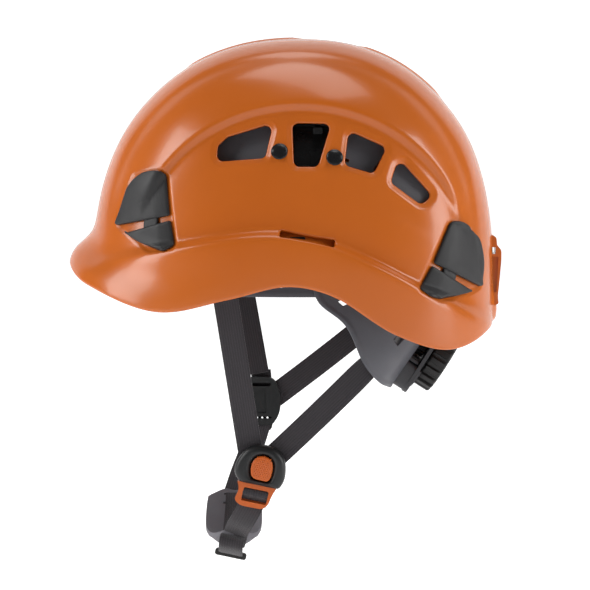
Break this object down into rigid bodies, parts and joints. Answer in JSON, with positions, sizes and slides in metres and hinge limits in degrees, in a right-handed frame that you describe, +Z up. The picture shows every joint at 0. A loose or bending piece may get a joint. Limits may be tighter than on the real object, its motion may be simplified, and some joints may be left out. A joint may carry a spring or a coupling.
{
  "type": "climbing helmet",
  "caption": "Hard-shell climbing helmet with sliding vent shutters, lamp clips, textile cradle, nape adjuster wheel, and chin strap with push-button buckle, strap divider and chin cup.",
  "frame": {"origin": "centre of the arcs on which the vent shutters slide, on the middle plane inside the head space", "axes": "+Z up to the crown, -X to the forehead, -Y to the left side"},
  "size_m": [0.2864, 0.2118, 0.3456],
  "materials": {
    "shell_plastic": "glossy moulded",
    "black_plastic": "satin moulded",
    "shutter_plastic": "matt moulded",
    "dark_grey_plastic": "satin moulded",
    "mid_grey_plastic": "satin moulded",
    "wheel_plastic": "satin moulded",
    "webbing": "woven polyester",
    "foam_pad": "brushed fabric over foam",
    "buckle_plastic": "satin moulded",
    "button_plastic": "satin moulded",
    "spring_steel": "plain wire",
    "cup_rubber": "matt moulded"
  },
  "bodies": {
    "shell": {"outer_shell": "shell_plastic", "guide_plug_front_left": "black_plastic", "guide_plug_front_right": "black_plastic", "guide_plug_rear_left": "black_plastic", "guide_plug_rear_right": "black_plastic", "lamp_clip_front_left": "black_plastic", "lamp_clip_front_right": "black_plastic", "lamp_clip_rear_left": "black_plastic", "lamp_clip_rear_right": "black_plastic", "rear_bracket": "shell_plastic", "headband": "dark_grey_plastic", "brow_pad": "foam_pad", "anchor_front_left": "black_plastic", "anchor_front_right": "black_plastic", "anchor_side_left": "black_plastic", "anchor_side_right": "black_plastic", "anchor_rear_left": "black_plastic", "anchor_rear_right": "black_plastic", "crown_strap_cross": "webbing", "crown_strap_diagonal_a": "webbing", "crown_strap_diagonal_b": "webbing", "crown_pad": "foam_pad", "nape_pin_left": "black_plastic", "nape_pin_right": "black_plastic", "strap_front_left": "webbing", "strap_front_right": "webbing", "strap_rear_left": "webbing", "strap_rear_right": "webbing", "buckle_body": "buckle_plastic", "divider_body": "buckle_plastic", "divider_pin": "spring_steel"},
    "left_shutter": {"left_vent_shutter": "shutter_plastic"},
    "right_shutter": {"right_vent_shutter": "shutter_plastic"},
    "nape": {"nape_arm_left": "dark_grey_plastic", "nape_arm_right": "dark_grey_plastic", "ratchet_housing": "mid_grey_plastic", "housing_cover": "dark_grey_plastic", "nape_pad": "foam_pad"},
    "wheel": {"adjuster_knob": "wheel_plastic", "pinion": "mid_grey_plastic"},
    "left_rack": {"rack_left": "mid_grey_plastic"},
    "right_rack": {"rack_right": "mid_grey_plastic"},
    "button": {"release_button": "button_plastic", "button_spring": "spring_steel"},
    "tongue": {"buckle_tongue": "button_plastic", "chin_strap_left": "webbing", "chin_strap_right": "webbing", "chin_cup": "cup_rubber", "strap_tip": "black_plastic"},
    "lever": {"divider_lever": "buckle_plastic"}
  },
  "joints": [
    {"name": "left_shutter_slide", "type": "hinge", "parent": "shell", "child": "left_shutter", "pos_m": [0, 0, 0], "axis": [0, -1, 0], "range_deg": [0, 5]},
    {"name": "right_shutter_slide", "type": "hinge", "parent": "shell", "child": "right_shutter", "pos_m": [0, 0, 0], "axis": [0, -1, 0], "range_deg": [0, 5]},
    {"name": "nape_tilt", "type": "hinge", "parent": "shell", "child": "nape", "pos_m": [0.03, 0, -0.002], "axis": [0, 1, 0], "range_deg": [-2, 3]},
    {"name": "wheel_turn", "type": "hinge", "parent": "nape", "child": "wheel", "pos_m": [0.0925, 0, -0.0595], "axis": [0.8461, 0, -0.5331], "range_deg": [0, 120]},
    {"name": "left_rack_slide", "type": "slide", "parent": "nape", "child": "left_rack", "axis": [0, 1, 0], "range_m": [0, 0.0142]},
    {"name": "right_rack_slide", "type": "slide", "parent": "nape", "child": "right_rack", "axis": [0, -1, 0], "range_m": [0, 0.0142]},
    {"name": "button_press", "type": "slide", "parent": "shell", "child": "button", "axis": [0, 1, 0], "range_m": [0, 0.0025], "stiffness_N_per_m": 400, "deforming": ["button_spring"]},
    {"name": "tongue_release", "type": "slide", "parent": "shell", "child": "tongue", "axis": [-0.1994, 0, -0.9799], "range_m": [0, 0.015]},
    {"name": "divider_lever_open", "type": "hinge", "parent": "shell", "child": "lever", "pos_m": [-0.029, 0.0647, -0.0925], "axis": [1, 0, 0], "range_deg": [0, 70]}
  ],
  "couplings": [
    {"joint": "left_rack_slide", "follows": "wheel_turn", "m_per_rad": 0.0067},
    {"joint": "right_rack_slide", "follows": "wheel_turn", "m_per_rad": 0.0067}
  ]
}
